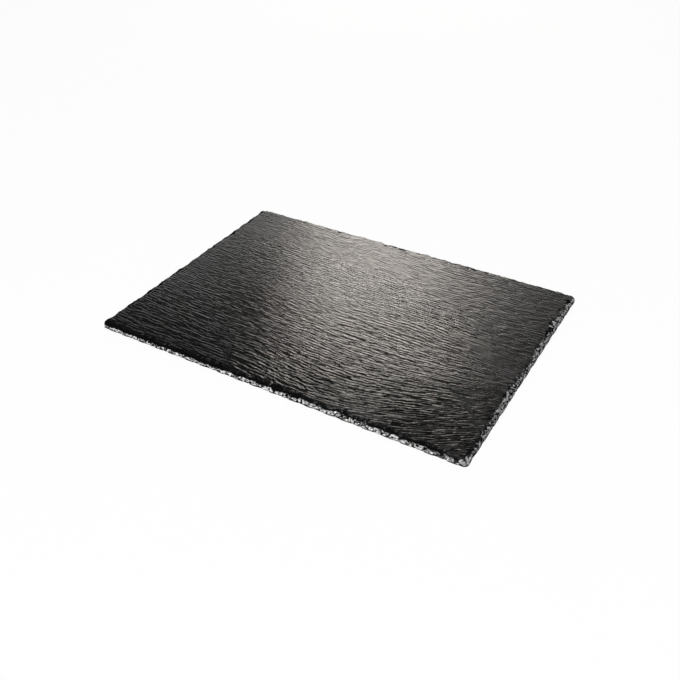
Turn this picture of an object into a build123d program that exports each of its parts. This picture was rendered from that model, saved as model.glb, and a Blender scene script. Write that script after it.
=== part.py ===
from build123d import *
import os
from math import atan2, cos, radians, sin, sqrt

# A slate serving board: one slab split from natural slate, its edge dressed all round with a hammer,
# standing on four self-adhesive bumper feet. Millimetres, Z up, the origin on the table under its middle.

# The slab
BOARD_LENGTH = 350.0
BOARD_WIDTH = 250.0
BOARD_THICKNESS = 7.0
CORNER_RADIUS = 5.0
EDGE_LEAN = 5.0  # degrees that the broken side leans in from the lower arris

# The scars that flakes leave along the upper arris, each a hollow groove that slopes down and out
FLAKE_PITCH = 9.0
FLAKE_RADIUS = 30.0
FLAKE_REACH = 3.9  # how far a scar runs in over the top face
FLAKE_DROP = 2.7  # how far a scar runs down the side
FLAKE_SKEW = 40.0  # degrees, the most that a scar turns from square to the edge
FLAKE_VARIATION = 0.2  # share by which scars differ from these sizes
FLAKE_SPREAD = 0.4  # share by which the radius differs from round to round

# The facets of the broken side below the scars, each a shallow ramp that ends in a steep step
FACET_PITCH = 6.5
FACET_LENGTH = 4.5
FACET_DEPTH = 0.6  # of the step
FACET_TILT = 40.0  # degrees, the most that a step leans along the edge
FACET_VARIATION = 0.4

# The feet, each a soft bumper held by a disc of adhesive film
FOOT_DIAMETER = 12.0
FOOT_HEIGHT = 2.2
FOOT_DRAFT = 8.0  # degrees that the bumper narrows towards its sole
FOOT_CHAMFER = 0.4  # round the sole
FOOT_INSET = 28.0  # from the board's sides to a foot's axis
FILM_THICKNESS = 0.2
FILM_MARGIN = 0.4  # by which the film stays inside the bumper's rim

UNDERSIDE = FOOT_HEIGHT + FILM_THICKNESS  # height of the slab above the table

# The hammer goes round the edge several times. Each round strikes every fifth place, so that its blows
# never meet, and has a scar radius of its own.
ROUNDS = 5

# Strides whose multiples, taken past the point, never repeat: these scatter the blows evenly
SCATTER_ALONG = 0.6180340
SCATTER_REACH = 0.7548777
SCATTER_DEPTH = 0.5698403
UP = Vector(0, 0, 1)


def scatter(step, stride):
    """A number from -1 to 1 that looks like chance but is the same for the same step."""
    return 2 * (step * stride % 1) - 1


def vary(size, share, step, stride):
    """The size, changed by up to the given share either way."""
    return size * (1 + share * scatter(step, stride))


def blows(arris, pitch, turn):
    """The places that one round strikes along an arris: each one's number, point, run and way out."""
    count = round(arris.length / pitch)
    for step in range(turn, count, ROUNDS):
        place = (step + scatter(step, SCATTER_ALONG) / 3) / count % 1
        run = arris.tangent_at(place)
        yield step, arris.position_at(place), run, run.cross(UP)


def flake_planes(arris, radius, turn):
    """Planes on the axes of one round's scars, which slope from the top face out through the side."""
    for step, point, run, outward in blows(arris, FLAKE_PITCH, turn):
        reach = vary(FLAKE_REACH, FLAKE_VARIATION, step, SCATTER_REACH)
        drop = vary(FLAKE_DROP, FLAKE_VARIATION, step, SCATTER_DEPTH)
        skew = radians(FLAKE_SKEW * scatter(step, SCATTER_DEPTH))
        bevel = sqrt(reach**2 + drop**2)
        facing = (outward * drop + UP * reach) / bevel
        slope = (outward * reach - UP * drop) / bevel
        axis = slope * cos(skew) + run * sin(skew)
        yield Plane(point + facing * (radius - reach * drop / bevel), x_dir=facing, z_dir=axis)


def facet_planes(arris, turn):
    """Planes in the middle of the blocks whose corners break one round's facets out of the side."""
    lean = radians(EDGE_LEAN)
    for step, point, run, outward in blows(arris, FACET_PITCH, turn):
        rise = UP * cos(lean) - outward * sin(lean)
        square = outward * cos(lean) + UP * sin(lean)
        tilt = radians(FACET_TILT * scatter(step, SCATTER_REACH))
        axis = rise * cos(tilt) + run * sin(tilt)
        depth = vary(FACET_DEPTH, FACET_VARIATION, step, SCATTER_DEPTH)
        ramp = atan2(depth, vary(FACET_LENGTH, FACET_VARIATION, step, SCATTER_ALONG))
        side = 1 if scatter(step, SCATTER_ALONG) > 0 else -1
        facing = square * cos(ramp) + axis.cross(square) * side * sin(ramp)
        stand_off = BLOCK_SIDE / 2 * (cos(ramp) + sin(ramp)) - depth
        yield Plane(point + rise * BOARD_THICKNESS / 2 + square * stand_off, x_dir=facing, z_dir=axis)


# The slab: a rounded rectangle whose sides lean in, its side broken into facets, its upper arris flaked
BLOCK_SIDE = 2 * FACET_LENGTH
BLOCK_LENGTH = 4 * BOARD_THICKNESS
SCAR_LENGTH = 4 * FLAKE_RADIUS
with BuildPart() as slate_slab:
    with BuildSketch(Plane.XY.offset(UNDERSIDE)) as outline:
        RectangleRounded(BOARD_LENGTH, BOARD_WIDTH, CORNER_RADIUS)
    extrude(amount=BOARD_THICKNESS, taper=EDGE_LEAN)
    lower_arris = outline.face().outer_wire()
    upper_arris = slate_slab.faces().sort_by(Axis.Z)[-1].outer_wire()
    for turn in range(ROUNDS):
        with Locations(*facet_planes(lower_arris, turn)):
            Box(BLOCK_SIDE, BLOCK_SIDE, BLOCK_LENGTH, mode=Mode.SUBTRACT)
    for turn in range(ROUNDS):
        scar_radius = vary(FLAKE_RADIUS, FLAKE_SPREAD, turn, SCATTER_ALONG)
        with Locations(*flake_planes(upper_arris, scar_radius, turn)):
            Cylinder(scar_radius, SCAR_LENGTH, mode=Mode.SUBTRACT)
slate_slab.part.label = "slate_slab"

os.makedirs("parts", exist_ok=True)
export_step(slate_slab.part, "parts/slate_slab.step")

# The feet and their films, under the four corners
corners = GridLocations(BOARD_LENGTH - 2 * FOOT_INSET, BOARD_WIDTH - 2 * FOOT_INSET, 2, 2)
names = ["front_left", "rear_left", "front_right", "rear_right"]
for name, corner in zip(names, corners):
    foot_seat = Plane(corner).offset(FOOT_HEIGHT)

    with BuildPart() as foot:
        with BuildSketch(foot_seat):
            Circle(FOOT_DIAMETER / 2)
        extrude(amount=-FOOT_HEIGHT, taper=FOOT_DRAFT)
        chamfer(foot.edges().sort_by(Axis.Z)[0], FOOT_CHAMFER)
    foot.part.label = f"foot_{name}"
    export_step(foot.part, f"parts/foot_{name}.step")

    with BuildPart() as film:
        with BuildSketch(foot_seat):
            Circle(FOOT_DIAMETER / 2 - FILM_MARGIN)
        extrude(amount=FILM_THICKNESS)
    film.part.label = f"adhesive_film_{name}"
    export_step(film.part, f"parts/adhesive_film_{name}.step")
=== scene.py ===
import math

import bmesh
import bpy
from mathutils import Euler, Matrix, Vector


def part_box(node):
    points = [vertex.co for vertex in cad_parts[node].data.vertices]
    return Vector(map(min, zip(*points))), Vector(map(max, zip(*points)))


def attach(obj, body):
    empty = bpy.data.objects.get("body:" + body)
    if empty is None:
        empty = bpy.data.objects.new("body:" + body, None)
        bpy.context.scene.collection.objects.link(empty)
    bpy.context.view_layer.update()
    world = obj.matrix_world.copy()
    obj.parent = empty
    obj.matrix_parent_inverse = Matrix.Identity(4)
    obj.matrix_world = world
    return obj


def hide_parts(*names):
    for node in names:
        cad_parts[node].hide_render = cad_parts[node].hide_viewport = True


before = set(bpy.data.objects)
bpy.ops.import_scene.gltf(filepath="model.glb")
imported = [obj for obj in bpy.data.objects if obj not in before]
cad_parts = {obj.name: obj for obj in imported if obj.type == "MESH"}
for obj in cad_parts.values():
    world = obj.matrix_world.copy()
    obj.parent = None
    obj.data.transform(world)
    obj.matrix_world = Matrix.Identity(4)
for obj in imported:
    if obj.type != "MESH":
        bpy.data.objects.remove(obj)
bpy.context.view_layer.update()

# The slab is one sheet of natural slate, split along its cleavage, so both faces are riven into thin
# scarps. Its edge is dressed with a hammer: flake scars run in over the top, and the side below them is
# broken into small facets, whose glitter is partly painted glints in the stone's colour.
MM = 0.001


class Pattern:
    """A socket of a node tree. Sums and products add Math nodes, and node adds any other."""

    def __init__(self, tree, socket=None):
        self.tree = tree
        self.socket = socket

    def node(self, kind, settings=None, inputs=None, output=0):
        made = self.tree.nodes.new(kind)
        for name, value in (settings or {}).items():
            setattr(made, name, value)
        for key, value in (inputs or {}).items():
            if isinstance(value, Pattern):
                self.tree.links.new(value.socket, made.inputs[key])
            else:
                made.inputs[key].default_value = value
        return Pattern(self.tree, made.outputs[output] if made.outputs else None)

    def maths(self, operation, *values):
        return self.node("ShaderNodeMath", {"operation": operation}, dict(enumerate(values)))

    def vectors(self, operation, *values, output=0):
        sockets = dict(enumerate(values))
        return self.node("ShaderNodeVectorMath", {"operation": operation}, sockets, output)

    def __add__(self, other):
        return self.maths("ADD", self, other)

    def __radd__(self, other):
        return self.maths("ADD", other, self)

    def __sub__(self, other):
        return self.maths("SUBTRACT", self, other)

    def __rsub__(self, other):
        return self.maths("SUBTRACT", other, self)

    def __mul__(self, other):
        return self.maths("MULTIPLY", self, other)

    def __rmul__(self, other):
        return self.maths("MULTIPLY", other, self)

    def __truediv__(self, other):
        return self.maths("DIVIDE", self, other)

    def __abs__(self):
        return self.maths("ABSOLUTE", self)

    def most(self, other):
        return self.maths("MAXIMUM", self, other)

    def least(self, other):
        return self.maths("MINIMUM", self, other)

    def rise(self, low, high):
        """Goes smoothly from 0 to 1 as the value goes from low to high."""
        return self.node(
            "ShaderNodeMapRange",
            {"interpolation_type": "SMOOTHSTEP"},
            {"Value": self, "From Min": low, "From Max": high},
        )

    def part(self, axis):
        return self.node("ShaderNodeSeparateXYZ", None, {0: self}, "XYZ".index(axis))

    def vector(self, x, y, z):
        return self.node("ShaderNodeCombineXYZ", None, {0: x, 1: y, 2: z})

    def stretch(self, x, y, z):
        """Vectors divided by a length along each axis, so that a pattern gets that grain size there."""
        return self.vectors("DIVIDE", self, (x, y, z))

    def noise(self, detail, roughness=0.5):
        sockets = {"Vector": self, "Scale": 1.0, "Detail": detail, "Roughness": roughness}
        return self.node("ShaderNodeTexNoise", None, sockets)

    def cells(self, output):
        return self.node("ShaderNodeTexVoronoi", None, {"Vector": self, "Scale": 1.0}, output)

    def mix(self, low, high):
        """The colour low where the value is 0, and high where it is 1."""
        return self.node("ShaderNodeMix", {"data_type": "RGBA"}, {0: self, 6: low, 7: high}, 2)


slab_low, slab_high = (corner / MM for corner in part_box("slate_slab"))
half_length, half_width, top = slab_high
foot_low, foot_high = (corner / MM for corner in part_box("foot_rear_right"))
foot_axis = (foot_low + foot_high) / 2
foot_radius = (foot_high.x - foot_low.x) / 2

# The riven face, with its lengths in millimetres
FAN_START = 40  # how far right of the middle the grain begins to fan out
FAN_BEND = 0.0035
GRAIN_SLANT = 0.02
GRAIN_DRIFT = 20
RISE_SHARE = 0.36  # of a scarp's pitch, over which it rises; twice as much where the grain fans out
CREST_ROUNDING = 0.2
RIVEN_DEPTH = 0.6  # of the bed below the flat top of the solid
LEAST_DEPTH = 0.06  # keeps the highest scarps inside the solid
SWELL_HEIGHT = 0.18
CRUMB_HEIGHT = 0.08


def fan_out(place):
    """How far the grain is carried aside where it fans out, at the right front corner."""
    across = (place.part("X") - FAN_START).most(0.0)
    return FAN_BEND * across * across * (1 - place.part("Y").rise(-110, 0))


def fanned(place):
    """Goes from 0 over most of the board to 1 where the grain fans out."""
    return fan_out(place).rise(2, 20)


def along_grain(place):
    """Places bent so that X runs with the grain."""
    drift = place.stretch(120, 80, 40).noise(1.0) - 0.5
    across = place.part("Y") + GRAIN_SLANT * place.part("X") + GRAIN_DRIFT * drift - fan_out(place)
    return place.vector(place.part("X"), across, place.part("Z"))


def scarps(place, grain, pitch, length, wander):
    """Steps along the grain, which rise steeply to the back, but fall steeply where the grain fans."""
    phase = grain.part("Y") / pitch + wander * grain.stretch(length, 2 * pitch, 9).noise(2.0)
    turn = phase.maths("FRACT", phase)
    steep = RISE_SHARE + RISE_SHARE * fanned(place)
    step = turn.maths("SMOOTH_MIN", turn / steep, (1 - turn) / (1 - steep), CREST_ROUNDING)
    return step * grain.stretch(0.8 * length, 1.2 * pitch, 5).noise(2.0).rise(0.3, 0.6)


def forward(place):
    """Goes from 0 at the back of the board to 1 at its front."""
    return 1 - place.part("Y").rise(-120, 90)


def rightward(place):
    """Goes from 0 over most of the board to 1 at its right back."""
    return (place.part("X") + 0.5 * place.part("Y")).rise(40, 130)


def midway(place):
    """Goes from 0 at the front and the back of the board to 1 behind its middle."""
    return place.part("Y").rise(-5, 35) * (1 - place.part("Y").rise(50, 90))


def scarp_height(place, grain):
    """How high the scarps stand: bold towards the front, low behind it, and calm left of the middle."""
    front = forward(place)
    bold = front * front * front * (0.36 + 0.27 * place.part("X").rise(0, 80))
    broad_height = 0.38 * bold
    tall_height = 0.025 + 0.25 * bold
    back_left = place.part("Y").rise(60, 95) * (1 - place.part("X").rise(-100, -20))
    front_middle = place.part("X").rise(-20, 20) * (1 - place.part("X").rise(60, 110)) * front * front
    low_height = 0.09 - 0.2 * front + 0.4 * front * front
    low_height = low_height + 0.13 * rightward(place) + 0.06 * midway(place)
    low_height = low_height + 0.05 * back_left + 0.06 * front_middle
    broad = broad_height * scarps(place, grain, pitch=9.5, length=30, wander=2.2)
    tall = tall_height * scarps(place, grain, pitch=5.2, length=20, wander=2.1)
    low = low_height * scarps(place, grain, pitch=3.1, length=15, wander=1.9)
    calm = place.part("X").rise(-110, -60) * (1 - place.part("X").rise(-20, 40)) * front * (1 - front)
    return (broad + tall + low) * (1 - 2.2 * calm) * (1 - 0.3 * fanned(place))


def riven_depth(place):
    """How deep the riven face lies below the flat top of the solid."""
    grain = along_grain(place)
    swell = SWELL_HEIGHT * grain.stretch(60, 26, 12).noise(2.0)
    crumb = CRUMB_HEIGHT * grain.stretch(9, 1.6, 3).noise(2.0)
    return (RIVEN_DEPTH - scarp_height(place, grain) - crumb - swell).most(LEAST_DEPTH)


def broken_depth(place):
    """How deep the tilted facets and thin ledges of the broken edge bite."""
    crystal = place.stretch(2.6, 2.6, 1.9)
    lift = crystal.cells("Color")
    away = crystal.vectors("SUBTRACT", crystal, crystal.cells("Position"))
    lean = crystal.vectors("SUBTRACT", lift, (0.5, 0.5, 0.5))
    tilt = crystal.vectors("DOT_PRODUCT", away, lean, output="Value")
    ledge = place.stretch(13, 13, 0.9).noise(2.0).rise(0.42, 0.58)
    return (0.15 + 0.2 * lift.part("X") + 0.6 * tilt + 0.2 * ledge).most(0.0)


relief = bpy.data.node_groups.new("riven_relief", "GeometryNodeTree")
relief.interface.new_socket("Geometry", in_out="INPUT", socket_type="NodeSocketGeometry")
relief.interface.new_socket("Geometry", in_out="OUTPUT", socket_type="NodeSocketGeometry")
start = Pattern(relief)
place = start.node("GeometryNodeInputPosition").stretch(MM, MM, MM)
normal = start.node("GeometryNodeInputNormal")
facing_up = normal.part("Z")
underside = (0 - facing_up).rise(0.6, 0.95)
side = (1 - facing_up.rise(0.45, 0.8)) * (1 - underside)
below_top = 1 - place.part("Z").rise(top - 0.3, top - 0.05)
flaked = below_top * (1 - underside)
from_edge = (half_length - abs(place.part("X"))).least(half_width - abs(place.part("Y")))

# Nicks bite in over the top along the arris, and reach further in at the two ends of the board.
NICK_REACH = 4.2
NICK_DEPTH = 0.55
right_end = place.part("X").rise(half_length - 9, half_length - 4)
left_end = 1 - place.part("X").rise(4 - half_length, 9 - half_length)
bite = place.stretch(2.8, 2.8, 20).cells("Color").part("Y")
bite = bite + place.stretch(12, 12, 20).noise(1.0).rise(0.3, 0.7)
nicks = NICK_REACH * bite - 0.8 + right_end + 2.2 * left_end - from_edge
nicks = nicks.most(0.0).least(1.0) * NICK_DEPTH * (1 - underside)
nicked = nicks.rise(0.02, 0.2)

# The facets of the broken edge are deepest on the side, and fade towards the lower arris.
over_arris = place.part("Z").rise(slab_low.z, slab_low.z + 3.5)
broken = broken_depth(place) * (0.35 + 0.65 * side * over_arris) * below_top * (1 - underside)

# The underside is riven more gently, and stays flat along its edge and where the feet are stuck on.
UNDERSIDE_RELIEF = 0.2
beyond_x = abs(place.part("X")) - foot_axis.x
beyond_y = abs(place.part("Y")) - foot_axis.y
squared = beyond_x * beyond_x + beyond_y * beyond_y
from_foot = squared.maths("SQRT", squared)
clear_of_feet = from_foot.rise(foot_radius + 1.0, foot_radius + 6.0)
hidden = UNDERSIDE_RELIEF * along_grain(place).stretch(30, 9, 9).noise(2.0)
hidden = hidden * underside * clear_of_feet * from_edge.rise(3, 9)

depth = riven_depth(place) * (1 - below_top) + broken + hidden + nicks * (1 - side)
scaled = {0: normal, "Scale": depth * -MM}
inward = normal.node("ShaderNodeVectorMath", {"operation": "SCALE"}, scaled)
shaped = start.node("NodeGroupInput")
for name, mask in (("flaked", flaked), ("nicked", nicked), ("side", side)):
    inputs = {"Geometry": shaped, "Name": name, "Value": mask}
    shaped = start.node("GeometryNodeStoreNamedAttribute", None, inputs)
moved = start.node("GeometryNodeSetPosition", None, {"Geometry": shaped, "Offset": inward})

# The outline is trimmed unevenly, so that no straight run of it is left.
reach = 0.4 + 0.3 * place.stretch(9, 9, 30).noise(1.0)
clipped = start.vector(
    place.part("X").least(half_length - reach).most(reach - half_length) * MM,
    place.part("Y").least(half_width - reach).most(reach - half_width) * MM,
    place.part("Z") * MM,
)
moved = start.node("GeometryNodeSetPosition", None, {"Geometry": moved, "Position": clipped})
start.node("NodeGroupOutput", None, {0: moved})

slab = bpy.data.objects.new("riven_slate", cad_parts["slate_slab"].data.copy())
bpy.context.scene.collection.objects.link(slab)
shape = bmesh.new()
shape.from_mesh(slab.data)
bmesh.ops.remove_doubles(shape, verts=shape.verts, dist=0.001 * MM)
shape.to_mesh(slab.data)
shape.free()

VOXEL = 0.65 * MM
KEPT_SHARE = 0.22  # of the faces, which keeps the slab under 200,000 triangles
evened = slab.modifiers.new("evened", "REMESH")
evened.mode = "VOXEL"
evened.voxel_size = VOXEL
evened.use_smooth_shade = True
riving = slab.modifiers.new("riving", "NODES")
riving.node_group = relief
thinned = slab.modifiers.new("thinned", "DECIMATE")
thinned.ratio = KEPT_SHARE
bpy.context.view_layer.update()
finished = bpy.data.meshes.new_from_object(slab.evaluated_get(bpy.context.evaluated_depsgraph_get()))
slab.modifiers.clear()
slab.data = finished
finished.name = "riven_slate"
finished.materials.clear()


def bare_tree(owner):
    """The emptied node tree of a material or of the world."""
    owner.use_nodes = True
    owner.node_tree.nodes.clear()
    return Pattern(owner.node_tree)


BED_DARK = (0.006, 0.006, 0.006, 1)
BED_PALE = (0.010, 0.0098, 0.0096, 1)
BREAK_PAINTED_SHADE = (0.004, 0.004, 0.004, 1)
CHIP_PALE_AND_GLINT = (0.75, 0.75, 0.74, 1)
slate = bpy.data.materials.new("oiled_slate")
start = bare_tree(slate)
place = start.node("ShaderNodeTexCoord", None, None, "Object").stretch(MM, MM, MM)
flaked = start.node("ShaderNodeAttribute", {"attribute_name": "flaked"}, None, "Fac")
nicked = start.node("ShaderNodeAttribute", {"attribute_name": "nicked"}, None, "Fac")
side = start.node("ShaderNodeAttribute", {"attribute_name": "side"}, None, "Fac")
grain = along_grain(place)

# The upper part of the scars is rubbed and oiled like the face, except at the left end.
worn = place.part("Z") + 4 * (place.stretch(7, 7, 7).noise(2.0) - 0.5)
rubbed = worn.rise(top - 1.6, top - 1.0) * place.part("X").rise(-160, -140)
broken = side.most(flaked * (1 - rubbed)).most(nicked)

# Below a ragged line the break shows pale chips and grit, partly the broken stone's lighter colour and
# partly painted glints. Above the line the break is black, painted shade darker than the stone itself.
right_end = place.part("X").rise(half_length - 9, half_length - 4)
left_half = 1 - place.part("X").rise(-60, 60)
height = place.part("Z") + (2.6 + 3.6 * right_end) * (place.stretch(6, 6, 3).noise(2.0) - 0.5)
limit = top - 2.3 - left_half + 1.8 * right_end
crushed = broken * (1 - height.rise(limit - 0.7, limit))
# A thin strip along the lower arris is left black as well, a painted shadow under the edge.
crushed = crushed * height.rise(slab_low.z + 0.6, slab_low.z + 1.2)
chip = place.stretch(2.0, 2.0, 1.5).cells("Color").part("X")
grit = place.stretch(1.0, 1.0, 0.8).cells("Color").part("X")
# At the right end the chips are painted half as bright, painted shade on that less lit side.
chips_and_painted_glints = crushed * (0.6 * chip + 0.5 * grit).rise(0.45, 0.85) * (1 - 0.5 * right_end)
break_shade_and_chips = chips_and_painted_glints.mix(BREAK_PAINTED_SHADE, CHIP_PALE_AND_GLINT)
finish = {"Base Color": break_shade_and_chips, "Roughness": 0.6, "Specular IOR Level": 0.0}
dull = start.node("ShaderNodeBsdfPrincipled", None, finish)

# The oiled face is smoothest towards the front. The bump sharpens its scarps and adds finer crumbs.
bed = grain.stretch(40, 25, 10).noise(3.0).rise(0.3, 0.7).mix(BED_DARK, BED_PALE)
rough = 0.26 - 0.11 * forward(place) + 0.03 * rightward(place) - 0.05 * fanned(place)
rough = rough + 0.06 * grain.stretch(12, 6, 4).noise(3.0) - 0.03 * midway(place)
crumb_height = 0.24 + 0.1 * forward(place) - 0.1 * rightward(place) - 0.15 * fan_out(place).rise(0, 20)
crumb_height = crumb_height + 0.14 * (1 - place.part("X").rise(-160, -100))
crumb = crumb_height * grain.stretch(9, 1.3, 1.3).noise(2.0, 0.4)
fine = 0.6 * scarp_height(place, grain) + crumb
bump = start.node("ShaderNodeBump", None, {"Height": fine, "Strength": 1.0, "Distance": MM})
finish = {"Base Color": bed, "Roughness": rough, "Normal": bump}
oiled = start.node("ShaderNodeBsdfPrincipled", None, finish)

# Towards the front edge and where the grain fans out, part of the face takes the dull black shader of
# the break, which darkens it and takes away gloss there.
dulling = 0.5 * (1 - place.part("Y").rise(-130, -25)) + 0.2 * fanned(place)
surface = start.node("ShaderNodeMixShader", None, {0: broken.most(dulling), 1: oiled, 2: dull})
start.node("ShaderNodeOutputMaterial", None, {"Surface": surface})
finished.materials.append(slate)
finished.shade_smooth()
finished.set_sharp_from_angle(angle=math.radians(40))

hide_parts("slate_slab")
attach(slab, "root")

# Four discs of transfer adhesive, thin and milky, are pressed between the feet and the stone. Their
# shape is the CAD's own, and only the material is made here.
THIN_MILK = (0.42, 0.40, 0.35, 1)
THICK_MILK = (0.60, 0.58, 0.53, 1)
adhesive = bpy.data.materials.new("milky_adhesive")
start = bare_tree(adhesive)
place = start.node("ShaderNodeTexCoord", None, None, "Object").stretch(MM, MM, MM)
smear = place.stretch(3.0, 3.0, 3.0).noise(3.0)
bubble = place.stretch(0.8, 0.8, 0.8).cells("Distance").rise(0.12, 0.22)
colour = (smear * bubble).rise(0.2, 0.7).mix(THIN_MILK, THICK_MILK)
skin = smear + 0.3 * bubble
bump = start.node("ShaderNodeBump", None, {"Height": skin, "Strength": 0.5, "Distance": 0.03 * MM})
finish = {"Base Color": colour, "Roughness": 0.3 + 0.2 * smear, "Normal": bump}
surface = start.node("ShaderNodeBsdfPrincipled", None, finish)
start.node("ShaderNodeOutputMaterial", None, {"Surface": surface})
for name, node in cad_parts.items():
    if name.startswith("adhesive_film"):
        node.material_slots[0].material = adhesive

# The feet are round bumpers of soft black rubber, moulded with a little draft, a rounded sole and the
# shallow dish of the mould's gate. Each is stuck on under a corner by its film.
DRAFT = math.radians(8)
SOLE_ROUND = 0.4
GATE_RADIUS = 1.6
GATE_RIM = 2.1
GATE_DEPTH = 0.12
FOOT_SIDES = 64
RUBBER_BLACK = (0.018, 0.018, 0.019, 1)
RUBBER_BLOOM = (0.036, 0.036, 0.037, 1)
rubber = bpy.data.materials.new("bumper_rubber")
start = bare_tree(rubber)
place = start.node("ShaderNodeTexCoord", None, None, "Object").stretch(MM, MM, MM)
bloom = place.stretch(2.5, 2.5, 1.2).noise(3.0)
grit = place.stretch(0.25, 0.25, 0.25).noise(2.0)
colour = bloom.rise(0.4, 0.75).mix(RUBBER_BLACK, RUBBER_BLOOM)
bump = start.node("ShaderNodeBump", None, {"Height": grit, "Strength": 0.6, "Distance": 0.03 * MM})
finish = {"Base Color": colour, "Roughness": 0.5 + 0.25 * bloom, "Normal": bump}
surface = start.node("ShaderNodeBsdfPrincipled", None, finish)
start.node("ShaderNodeOutputMaterial", None, {"Surface": surface})
for name in ("front_left", "front_right", "rear_left", "rear_right"):
    low, high = (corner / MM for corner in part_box("foot_" + name))
    axis = Vector(((low.x + high.x) / 2, (low.y + high.y) / 2, 0.0))
    radius = (high.x - low.x) / 2
    sole_radius = radius - high.z * math.tan(DRAFT)
    gate = [(0, GATE_DEPTH), (GATE_RADIUS, GATE_DEPTH), (GATE_RIM, 0)]
    outline = gate + [(sole_radius, 0), (radius, high.z), (0, high.z)]
    shape = bmesh.new()
    points = [shape.verts.new(axis + Vector((out, 0, up))) for out, up in outline]
    lines = [shape.edges.new(pair) for pair in zip(points, points[1:])]
    bmesh.ops.spin(
        shape, geom=points + lines, cent=axis, axis=(0, 0, 1),
        angle=2 * math.pi, steps=FOOT_SIDES, use_merge=True,
    )
    bmesh.ops.remove_doubles(shape, verts=shape.verts, dist=0.001)
    rim = [
        edge for edge in shape.edges
        if all(vert.co.z < 0.01 and (vert.co - axis).length > 2 * GATE_RIM for vert in edge.verts)
    ]
    bmesh.ops.bevel(
        shape, geom=rim, offset=SOLE_ROUND, affect="EDGES", segments=5, profile=0.5, material=-1
    )
    bmesh.ops.recalc_face_normals(shape, faces=shape.faces)
    bmesh.ops.scale(shape, vec=(MM, MM, MM), verts=shape.verts)
    foot = bpy.data.objects.new("bumper_" + name, bpy.data.meshes.new("bumper_" + name))
    bpy.context.scene.collection.objects.link(foot)
    shape.to_mesh(foot.data)
    shape.free()
    foot.data.shade_smooth()
    foot.data.set_sharp_from_angle(angle=math.radians(35))
    foot.data.materials.append(rubber)
    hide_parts("foot_" + name)
    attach(foot, "root")

# The floor is a round sheet of pale studio paper that curves up into a low wall all round. The camera
# and the stone's gloss see it nearly white, with the board's shadow on it. From below it is see-through.
SWEEP_RADIUS = 3.0
SWEEP_HEIGHT = 1.1
COVE_RADIUS = 0.4
SWEEP_SIDES = 96
PAPER_WHITENESS = 0.94  # share of plain white that the camera and the gloss see
sheet = bmesh.new()
corners = [(0, 0, 0), (SWEEP_RADIUS, 0, 0), (SWEEP_RADIUS, 0, SWEEP_HEIGHT)]
points = [sheet.verts.new(corner) for corner in corners]
lines = [sheet.edges.new(pair) for pair in zip(points, points[1:])]
bmesh.ops.spin(
    sheet, geom=points + lines, cent=(0, 0, 0), axis=(0, 0, 1),
    angle=2 * math.pi, steps=SWEEP_SIDES, use_merge=True,
)
bmesh.ops.remove_doubles(sheet, verts=sheet.verts, dist=MM)
foot_of_wall = [
    edge for edge in sheet.edges
    if all(vert.co.z < MM and vert.co.length > SWEEP_RADIUS / 2 for vert in edge.verts)
]
bmesh.ops.bevel(
    sheet, geom=foot_of_wall, offset=COVE_RADIUS, affect="EDGES", segments=8, profile=0.5, material=-1
)
bmesh.ops.recalc_face_normals(sheet, faces=sheet.faces)
bmesh.ops.reverse_faces(sheet, faces=sheet.faces)
sweep = bpy.data.objects.new("studio_sweep", bpy.data.meshes.new("studio_sweep"))
bpy.context.scene.collection.objects.link(sweep)
sheet.to_mesh(sweep.data)
sheet.free()
sweep.data.shade_smooth()
paper = bpy.data.materials.new("studio_paper")
start = bare_tree(paper)
seen = start.node("ShaderNodeLightPath", None, None, "Is Camera Ray")
seen = seen.most(start.node("ShaderNodeLightPath", None, None, "Is Glossy Ray"))
seen = seen.most(start.node("ShaderNodeLightPath", None, None, "Is Transmission Ray"))
lit = start.node("ShaderNodeBsdfDiffuse", None, {"Color": (0.85, 0.85, 0.85, 1)})
white = start.node("ShaderNodeEmission", None, {"Color": (1, 1, 1, 1), "Strength": 1.0})
mixed = start.node("ShaderNodeMixShader", None, {0: seen * PAPER_WHITENESS, 1: lit, 2: white})
behind = start.node("ShaderNodeNewGeometry", None, None, "Backfacing")
clear = start.node("ShaderNodeBsdfTransparent")
mixed = start.node("ShaderNodeMixShader", None, {0: behind, 1: mixed, 2: clear})
start.node("ShaderNodeOutputMaterial", None, {"Surface": mixed})
sweep.data.materials.append(paper)

# Studio light: a softbox low behind the board, whose sheen lies over the back of the stone, with a dim
# card beside it, a large card in front for the broken edge and a softbox overhead. The room behind them
# is dark, and a little light comes from below.
GLOW_BELOW = (0.1, 0.1, 0.1, 1)
GLOW_ABOVE = (0.02, 0.02, 0.02, 1)
world = bpy.data.worlds.new("studio")
bpy.context.scene.world = world
start = bare_tree(world)
up = start.node("ShaderNodeTexCoord", None, None, "Generated").part("Z")
glow = up.rise(-0.1, 0.0).mix(GLOW_BELOW, GLOW_ABOVE)
background = start.node("ShaderNodeBackground", None, {"Color": glow, "Strength": 1.0})
start.node("ShaderNodeOutputWorld", None, {"Surface": background})


def seen_from_board(azimuth, elevation, distance):
    """A point at an azimuth, counted in degrees from +Y towards -X, and an elevation above the board."""
    turn = math.radians(azimuth)
    tip = math.radians(elevation)
    out = math.cos(tip)
    return distance * Vector((-math.sin(turn) * out, math.cos(turn) * out, math.sin(tip)))


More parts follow.
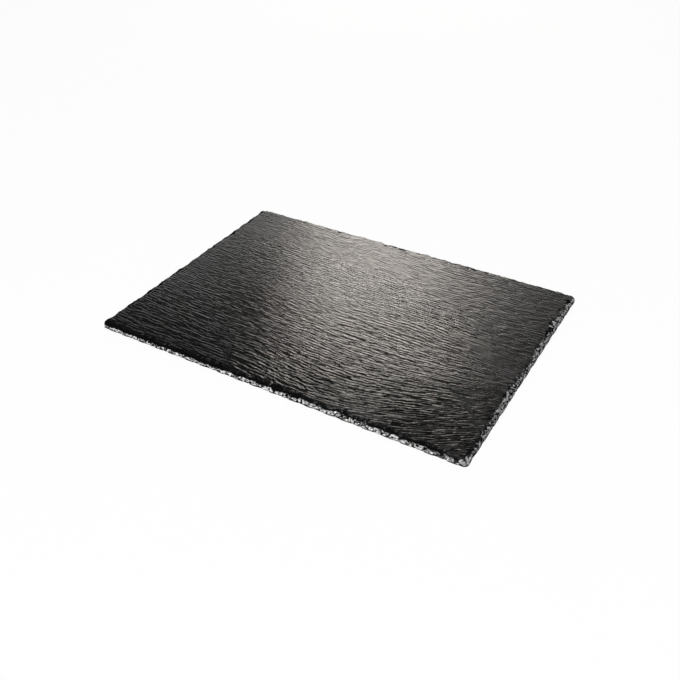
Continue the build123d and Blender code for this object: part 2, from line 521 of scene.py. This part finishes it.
def softbox(name, azimuth, elevation, distance, width, height, power, colour):
    light = bpy.data.lights.new(name, "AREA")
    light.shape = "RECTANGLE"
    light.size = width
    light.size_y = height
    light.energy = power
    light.color = colour
    lamp = bpy.data.objects.new(name, light)
    lamp.location = seen_from_board(azimuth, elevation, distance)
    lamp.rotation_euler = lamp.location.to_track_quat("Z", "Y").to_euler()
    lamp.visible_camera = False
    bpy.context.scene.collection.objects.link(lamp)


softbox(
    "back_softbox", azimuth=24, elevation=26, distance=1.6,
    width=0.52, height=0.2, power=5.5, colour=(1.0, 0.93, 0.86),
)
softbox(
    "left_card", azimuth=39, elevation=21, distance=1.6,
    width=0.55, height=0.25, power=0.35, colour=(1.0, 0.97, 0.94),
)
softbox(
    "front_card", azimuth=203, elevation=40, distance=1.8,
    width=2.0, height=1.0, power=35, colour=(1.0, 1.0, 1.0),
)
softbox(
    "overhead_softbox", azimuth=0, elevation=90, distance=1.8,
    width=1.2, height=1.2, power=9, colour=(1.0, 1.0, 1.0),
)

# The camera looks down on the board from beyond its right front corner, with a lens of ordinary reach.
# Its place was solved from the four edges of the board in the photograph.
CAMERA_AZIMUTH = 31.02
CAMERA_ELEVATION = 36.19
CAMERA_ROLL = -0.665
CAMERA_DISTANCE = 700.4 * MM
CAMERA_AIM = Vector((19.5, -39.0, 5.0)) * MM
SENSOR_WIDTH = 36.0
FOCAL_LENGTH = 43.19
NEAREST = 10 * MM
lens = bpy.data.cameras.new("camera")
lens.sensor_width = SENSOR_WIDTH
lens.lens = FOCAL_LENGTH
lens.clip_start = NEAREST
camera = bpy.data.objects.new("camera", lens)
turned = Euler((math.radians(90 - CAMERA_ELEVATION), 0, math.radians(CAMERA_AZIMUTH)))
rolled = turned.to_matrix().to_4x4() @ Matrix.Rotation(math.radians(CAMERA_ROLL), 4, "Z")
back_off = Matrix.Translation((0, 0, CAMERA_DISTANCE))
camera.matrix_world = Matrix.Translation(CAMERA_AIM) @ rolled @ back_off
bpy.context.scene.collection.objects.link(camera)
bpy.context.scene.camera = camera

bpy.context.scene.view_settings.view_transform = "Standard"
